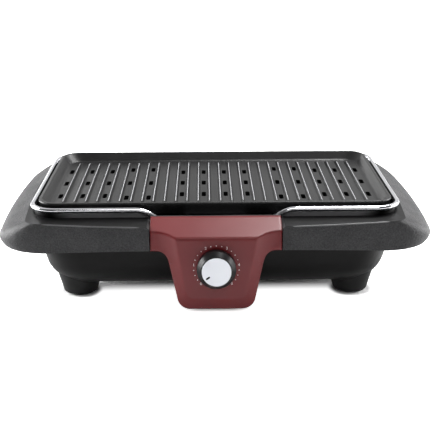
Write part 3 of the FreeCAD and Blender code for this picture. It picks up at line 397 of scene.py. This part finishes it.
# tone of the crease bead, paler than the band: a painted highlight
surface("crease_highlight", grey(0.05), grey(0.075), grain=(900.0, 0.00003, 0.2), rough=(0.26, 0.34))
surface("dial_print", (0.72, 0.60, 0.60), (0.80, 0.68, 0.68), grain=(1800.0, 0.00001, 0.1), rough=(0.4, 0.5))


def moulded_base():
    """Spark-textured charcoal moulding with a smooth ledge round the tray and a smooth tub, both darkened by
    painted shade.
    """
    tree = new_material("base_plastic")
    top_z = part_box("base_housing")[1].z
    ledge = use(tree, HEIGHT, Low=top_z - 2 * LEDGE_EDGE, High=top_z - LEDGE_EDGE)
    band = use(tree, HEIGHT, Low=TUB_TOP - TUB_BLEND, High=TUB_TOP)
    # 1 on the textured band, 0 on the smooth ledge and tub, which get painted shade
    textured = number(tree, "SUBTRACT", band, ledge, clamp=True)
    spark = tones(tree, grey(0.016), grey(0.046), Scale=30.0, Speck=0.7, Speck_Scale=700.0)
    # painted shade: the darker tone of the ledge and the tub
    smooth = tones(tree, grey(0.002), grey(0.004), Scale=30.0, Speck=0.3, Speck_Scale=900.0)
    strength = ramp(tree, textured, (0.0, 1.0), SMOOTH_GRAIN, SPARK_GRAIN, "LINEAR")
    dress(
        tree, Base_Color=mix(tree, "RGBA", textured, smooth, spark),
        Roughness=use(tree, WIPE, Low=0.38, High=0.50),
        Normal=use(tree, GRAIN, Scale=480.0, Depth=0.0010, Strength=strength),
        Specular_IOR_Level=0.11,
    )


def plated_tray():
    """Bright plated rim, pale matt long walls under it, and a dark coat elsewhere, which at the corners under
    the rim is painted shade.
    """
    tree = new_material("tray_steel")
    rim = use(tree, HEIGHT, Low=TRAY_RIM - TRAY_RIM_BLEND, High=TRAY_RIM)
    wall = use(tree, HEIGHT, Low=TRAY_WALL - TRAY_WALL_BLEND, High=TRAY_WALL)
    field = field_of(tree, "drip_tray", TRAY_WALL_FIELD, TRAY_WALL_FADE)
    long_wall = number(tree, "MULTIPLY", wall, field)
    plated = number(tree, "MAXIMUM", rim, long_wall)
    under_rim = number(tree, "SUBTRACT", long_wall, rim, clamp=True)
    bright = tones(tree, grey(0.62), grey(0.68), Scale=30.0, Speck=0.15, Speck_Scale=1500.0)
    # dark coat; at the corners under the rim it is painted shade
    coat = tones(tree, grey(0.003), grey(0.007), Scale=22.0, Speck=0.4, Speck_Scale=600.0)
    bright_rough = use(tree, WIPE, Low=0.10, High=0.18)
    coat_rough = use(tree, WIPE, Low=0.42, High=0.58)
    dress(
        tree, Base_Color=mix(tree, "RGBA", plated, coat, bright),
        Roughness=mix(tree, "FLOAT", plated, coat_rough, bright_rough),
        Normal=use(tree, GRAIN, Scale=1500.0, Depth=0.000004, Strength=0.1),
        Metallic=ramp(tree, under_rim, (0.0, 1.0), 1.0, 1 - TRAY_WALL_DULL, "LINEAR"),
    )


def coated_casting():
    """Non-stick coat: flecked black, with a painted highlight that makes the crowns of the ribs paler."""
    tree = new_material("nonstick_cast")
    floor_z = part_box("grill_plate")[1].z - PLATE_WELL
    crown = use(tree, HEIGHT, Low=floor_z + RIB_SHOULDER, High=floor_z + RIB_CROWN)
    # painted highlight: a pale line along the crown of each rib
    painted_crown_highlight = number(tree, "MULTIPLY", crown, field_of(tree, "grill_plate", RIB_FIELD, RIB_FADE))
    coat = tones(tree, grey(0.003), grey(0.007), Scale=14.0, Speck=0.45, Speck_Scale=1100.0)
    crown_highlight_tone = tones(tree, grey(0.20), grey(0.36), Scale=60.0, Speck=0.5, Speck_Scale=800.0)
    dress(
        tree, Base_Color=mix(tree, "RGBA", painted_crown_highlight, coat, crown_highlight_tone),
        Roughness=use(tree, WIPE, Low=0.33, High=0.44, Scale=55.0, Stretch=0.08),
        Normal=use(tree, GRAIN, Scale=650.0, Depth=0.00025, Strength=0.7, Stretch=0.02),
        Specular_IOR_Level=0.24,
    )


moulded_base()
plated_tray()
coated_casting()
for part in frame["record"]["subparts"]:
    mesh = nodes[part["node"]].data
    mesh.materials.clear()
    mesh.materials.append(looks[part["material_slot"]])


# Pieces that geometry nodes make
def new_shape(name, inputs):
    """Geometry group with named inputs (name: socket type). Gives its tree, inputs and their identifiers."""
    tree = bpy.data.node_groups.new(name, "GeometryNodeTree")
    identifiers = {}
    for key, kind in inputs.items():
        identifiers[key] = tree.interface.new_socket(key, in_out="INPUT", socket_type=kind).identifier
    tree.interface.new_socket("Geometry", in_out="OUTPUT", socket_type="NodeSocketGeometry")
    return tree, tree.nodes.new("NodeGroupInput").outputs, identifiers


def close_shape(tree, geometry, material):
    """End a geometry group with real geometry in one material."""
    realize = add(tree, "GeometryNodeRealizeInstances", Geometry=geometry)
    paint = add(tree, "GeometryNodeSetMaterial", Geometry=realize.outputs["Geometry"], Material=material)
    feed(tree, paint.outputs["Geometry"], tree.nodes.new("NodeGroupOutput").inputs["Geometry"])


def settle(obj, name, transform):
    """Plain mesh object of what obj shows, moved into the part's frame. The source is removed."""
    graph = bpy.context.evaluated_depsgraph_get()
    mesh = bpy.data.meshes.new_from_object(obj.evaluated_get(graph))
    mesh.transform(transform)
    bpy.data.batch_remove([obj, obj.data])
    mesh.name = name
    settled = bpy.data.objects.new(name, mesh)
    scene.collection.objects.link(settled)
    return settled


def grow(name, source, tree, identifiers, values, transform):
    """Piece that a geometry group makes from a source mesh and named values."""
    carrier = bpy.data.objects.new(f"{name}_source", source)
    scene.collection.objects.link(carrier)
    modifier = carrier.modifiers.new("shape", "NODES")
    modifier.node_group = tree
    for key, value in values.items():
        modifier[identifiers[key]] = value
    return settle(carrier, name, transform)


# Printed dial
def dial_frame():
    """Matrix from the dial's plane (x right, y up, z out of the panel) to the part's frame."""
    knob = next(joint for joint in frame["record"]["behaviour"]["joints"] if joint["name"] == "knob_turn")
    out = -Vector(knob["axis"])
    right = Vector((1, 0, 0))
    up = out.cross(right)
    place = Vector(knob["pos_m"]) + out * PRINT_LIFT
    return Matrix.Translation(place) @ Matrix((right, up, out)).transposed().to_4x4()


def dial_dots(transform):
    """Dots on an arc, with the places of the labels left out."""
    tree, inside, identifiers = new_shape("dial_dots", {
        "Steps": "NodeSocketInt", "Label Every": "NodeSocketInt", "Radius": "NodeSocketFloat",
        "Sweep": "NodeSocketFloat", "Dot Radius": "NodeSocketFloat", "Material": "NodeSocketMaterial",
    })
    index = add(tree, "GeometryNodeInputIndex").outputs["Index"]
    from_top = number(tree, "SUBTRACT", number(tree, "DIVIDE", index, inside["Steps"]), 0.5)
    angle = number(tree, "MULTIPLY", from_top, inside["Sweep"])
    across = number(tree, "MULTIPLY", number(tree, "SINE", angle), inside["Radius"])
    upward = number(tree, "MULTIPLY", number(tree, "COSINE", angle), inside["Radius"])
    place = add(tree, "ShaderNodeCombineXYZ", X=across, Y=upward).outputs["Vector"]
    count = number(tree, "ADD", inside["Steps"], 1.0)
    points = add(tree, "GeometryNodePoints", Count=count, Position=place)
    past_label = number(tree, "MODULO", index, inside["Label Every"])
    is_dot = add(tree, "FunctionNodeCompare", operation="GREATER_THAN", A=past_label, B=0.5)
    disc = add(
        tree, "GeometryNodeMeshCircle", fill_type="NGON", Vertices=PRINT_SEGMENTS,
        Radius=inside["Dot Radius"],
    )
    dots = add(
        tree, "GeometryNodeInstanceOnPoints", Points=points.outputs["Points"],
        Selection=is_dot.outputs["Result"], Instance=disc.outputs["Mesh"],
    )
    close_shape(tree, dots.outputs["Instances"], inside["Material"])
    values = {
        "Steps": DIAL_STEPS, "Label Every": DOTS_PER_LABEL, "Radius": DIAL_RADIUS, "Sweep": DIAL_SWEEP,
        "Dot Radius": DIAL_DOT_RADIUS, "Material": looks["dial_print"],
    }
    source = bpy.data.meshes.new("dial_dots_source")
    return grow("dial_dots", source, tree, identifiers, values, transform)


def dial_label(label, transform):
    name = f"dial_label_{label}"
    curve = bpy.data.curves.new(name, "FONT")
    curve.body = str(label)
    curve.size = DIAL_TEXT_SIZE
    curve.align_x = "CENTER"
    curve.align_y = "CENTER"
    text = bpy.data.objects.new(f"{name}_source", curve)
    scene.collection.objects.link(text)
    angle = DIAL_SWEEP * (label * DOTS_PER_LABEL / DIAL_STEPS - 0.5)
    place = Vector((DIAL_RADIUS * math.sin(angle), DIAL_RADIUS * math.cos(angle), 0))
    piece = settle(text, name, transform @ Matrix.Translation(place))
    piece.data.materials.clear()
    piece.data.materials.append(looks["dial_print"])
    return piece


to_dial = dial_frame()
for piece in [dial_dots(to_dial)] + [dial_label(n, to_dial) for n in range(DIAL_LABELS)]:
    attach(piece, "control_unit")


# Crease bead, whose paler tone is a painted highlight
def crease_lines():
    """Mesh of the edges, front and rear, where the flat top of the base turns sharply down into its band."""
    housing = bmesh.new()
    housing.from_mesh(nodes["base_housing"].data)
    bmesh.ops.remove_doubles(housing, verts=housing.verts, dist=MERGE_DISTANCE)
    housing.normal_update()
    low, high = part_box("base_housing")
    middle_y = (low.y + high.y) / 2
    up = Vector((0, 0, 1))
    sink = {}
    pairs = []
    for edge in housing.edges:
        if min(v.co.z for v in edge.verts) < high.z - TOP_SLACK or len(edge.link_faces) != 2:
            continue
        top, side = sorted(edge.link_faces, key=lambda face: -face.normal.z)
        outward = math.copysign(1, edge.verts[0].co.y - middle_y)
        if top.normal.z < LEDGE_UPWARD or side.normal.y * outward < BAND_OUTWARD:
            continue
        pairs.append(edge.verts[:])
        for vert in edge.verts:
            sink[vert] = -BEAD_SINK * (up + side.normal)
    order = {vert: n for n, vert in enumerate(sink)}
    places = [vert.co + sink[vert] for vert in order]
    lines = [[order[vert] for vert in pair] for pair in pairs]
    mesh = bpy.data.meshes.new("crease_lines")
    mesh.from_pydata(places, lines, [])
    housing.free()
    return mesh


def crease_bead():
    """Round bead along the crease, thinning out at its ends. Its rounded form catches real light, and its
    paler tone is a painted highlight.
    """
    tree, inside, identifiers = new_shape("crease_bead", {
        "Lines": "NodeSocketGeometry", "Radius": "NodeSocketFloat", "Step": "NodeSocketFloat",
        "Sides": "NodeSocketInt", "Taper": "NodeSocketFloat", "Tip": "NodeSocketFloat",
        "Material": "NodeSocketMaterial",
    })
    line = add(tree, "GeometryNodeMeshToCurve", Mesh=inside["Lines"])
    even = add(
        tree, "GeometryNodeResampleCurve", mode="LENGTH", Curve=line.outputs["Curve"], Length=inside["Step"],
    )
    along = add(tree, "GeometryNodeSplineParameter").outputs["Factor"]
    from_end = number(tree, "MINIMUM", along, number(tree, "SUBTRACT", 1.0, along))
    ring = add(tree, "GeometryNodeCurvePrimitiveCircle", Radius=inside["Radius"], Resolution=inside["Sides"])
    tube = add(
        tree, "GeometryNodeCurveToMesh", Curve=even.outputs["Curve"], Profile_Curve=ring.outputs["Curve"],
        Scale=ramp(tree, from_end, (0.0, inside["Taper"]), inside["Tip"]), Fill_Caps=True,
    )
    smooth = add(tree, "GeometryNodeSetShadeSmooth", Geometry=tube.outputs["Mesh"])
    close_shape(tree, smooth.outputs["Geometry"], inside["Material"])
    values = {
        "Radius": BEAD_RADIUS, "Step": BEAD_STEP, "Sides": BEAD_SIDES, "Taper": BEAD_TAPER, "Tip": BEAD_TIP,
        "Material": looks["crease_highlight"],
    }
    return grow("crease_bead", crease_lines(), tree, identifiers, values, Matrix())


bead = crease_bead()
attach(bead, "base")


# Floor
def folded_about(tree, place, middle):
    """Distances along the axes from a point of the floor, without their signs."""
    return vector(tree, "ABSOLUTE", vector(tree, "SUBTRACT", place, (*middle, 0)))


def clear_of(tree, place, middle, half, reach):
    """0 within a rectangle of the floor, rising to 1 at a distance from it."""
    beyond = vector(tree, "SUBTRACT", folded_about(tree, place, middle), (*half, 0))
    outside = vector(tree, "MAXIMUM", beyond, (0, 0, 0))
    return ramp(tree, vector(tree, "LENGTH", outside), (0.0, reach))


def clear_of_panel(tree, place):
    """0 under the control panel, rising to 1 round it, and 1 all over once the panel is lifted."""
    around = clear_of(tree, place, (0, PANEL_SHADE_Y), PANEL_SHADE_HALF, PANEL_SHADE_REACH)
    sky = add(tree, "ShaderNodeAmbientOcclusion", samples=SKY_SAMPLES, Distance=PANEL_SHADE_HEIGHT)
    lifted = ramp(tree, sky.outputs["AO"], PANEL_SHADE_OPEN, shape="LINEAR")
    return number(tree, "MAXIMUM", around, lifted)


def clear_of_feet(tree, place):
    """0 under the feet, rising to 1 just outside them."""
    low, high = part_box("rear_right_foot")
    row_middle = (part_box("front_right_foot")[0].y + high.y) / 2
    radius = (high.x - low.x) / 2
    foot = ((low.x + high.x) / 2, (low.y + high.y) / 2 - row_middle, 0)
    distance = vector(tree, "DISTANCE", folded_about(tree, place, (0, row_middle)), foot)
    return ramp(tree, distance, (radius - FOOT_SHADE_REACH, radius + FOOT_SHADE_REACH))


def white_floor():
    """Pale floor that turns white to the camera, except in painted shadow zones under the tub, the panel and
    the feet, where its own lit shade shows.
    """
    tree = new_material("floor")
    dress(
        tree, Base_Color=(FLOOR_TONE, FLOOR_TONE, FLOOR_TONE, 1), Roughness=FLOOR_ROUGHNESS,
        Specular_IOR_Level=0.0,
    )
    place = part_place(tree)
    path = add(tree, "ShaderNodeLightPath").outputs
    mirrored = number(tree, "MULTIPLY", path["Is Glossy Ray"], MIRRORED_LIFT)
    strength = number(tree, "MULTIPLY_ADD", path["Is Camera Ray"], FLOOR_LIFT, mirrored)
    # painted shadow: the glow is held back only in these zones, so shade shows there and nowhere else
    clearances = (
        clear_of(tree, place, (0, 0), TUB_SHADE_HALF, TUB_SHADE_REACH),
        clear_of_panel(tree, place),
        clear_of_feet(tree, place),
    )
    for clearance in clearances:
        strength = number(tree, "MULTIPLY", strength, clearance)
    glow = add(tree, "ShaderNodeEmission", Color=(1, 1, 1, 1), Strength=strength)
    both = add(tree, "ShaderNodeAddShader")
    feed(tree, tree.nodes["Principled BSDF"].outputs["BSDF"], both.inputs[0])
    feed(tree, glow.outputs["Emission"], both.inputs[1])
    feed(tree, both.outputs["Shader"], tree.nodes["Material Output"].inputs["Surface"])


def lay_floor():
    white_floor()
    mesh = bpy.data.meshes.new("floor")
    signs = ((-1, -1), (1, -1), (1, 1), (-1, 1))
    mesh.from_pydata([(x * FLOOR_HALF, y * FLOOR_HALF, 0) for x, y in signs], [], [(0, 1, 2, 3)])
    mesh.materials.append(looks["floor"])
    floor = bpy.data.objects.new("floor", mesh)
    scene.collection.objects.link(floor)
    return floor


lay_floor()


# Light
def soft_box(name, place, aim, width, height, power):
    light = bpy.data.lights.new(name, "AREA")
    light.shape = "RECTANGLE"
    light.size = width
    light.size_y = height
    light.energy = power
    lamp = bpy.data.objects.new(name, light)
    lamp.location = place
    lamp.rotation_euler = (Vector(aim) - Vector(place)).to_track_quat("-Z", "Y").to_euler()
    lamp.visible_camera = False
    scene.collection.objects.link(lamp)


def studio_world():
    """White to the camera. To the grill it is bright behind and dim in front."""
    world = bpy.data.worlds.new("studio")
    world.use_nodes = True
    tree = world.node_tree
    background = tree.nodes["Background"]
    way = add(tree, "ShaderNodeTexCoord").outputs["Generated"]
    glow = ramp(tree, axes(tree, way)["Y"], GLOW_CHANGE, FRONT_GLOW, BACK_GLOW)
    to_camera = add(tree, "ShaderNodeLightPath").outputs["Is Camera Ray"]
    feed(tree, (1, 1, 1, 1), background.inputs["Color"])
    feed(tree, ramp(tree, to_camera, (0.0, 1.0), glow, 1.0, "LINEAR"), background.inputs["Strength"])
    return world


for lamp in LAMPS:
    soft_box(*lamp)
scene.world = studio_world()
scene.view_settings.view_transform = "Standard"

# Camera
camera_data = bpy.data.cameras.new("camera")
camera_data.sensor_width = SENSOR_WIDTH
camera_data.lens = SENSOR_WIDTH * FOCAL_PIXELS / IMAGE_SIDE
camera = bpy.data.objects.new("camera", camera_data)
camera.location = CAMERA_PLACE
pan = Matrix.Rotation(-CAMERA_YAW, 3, "Z")
tilt = Matrix.Rotation(math.pi / 2 - CAMERA_PITCH, 3, "X")
roll = Matrix.Rotation(CAMERA_ROLL, 3, "Z")
camera.rotation_euler = (pan @ tilt @ roll).to_euler()
scene.collection.objects.link(camera)
scene.camera = camera
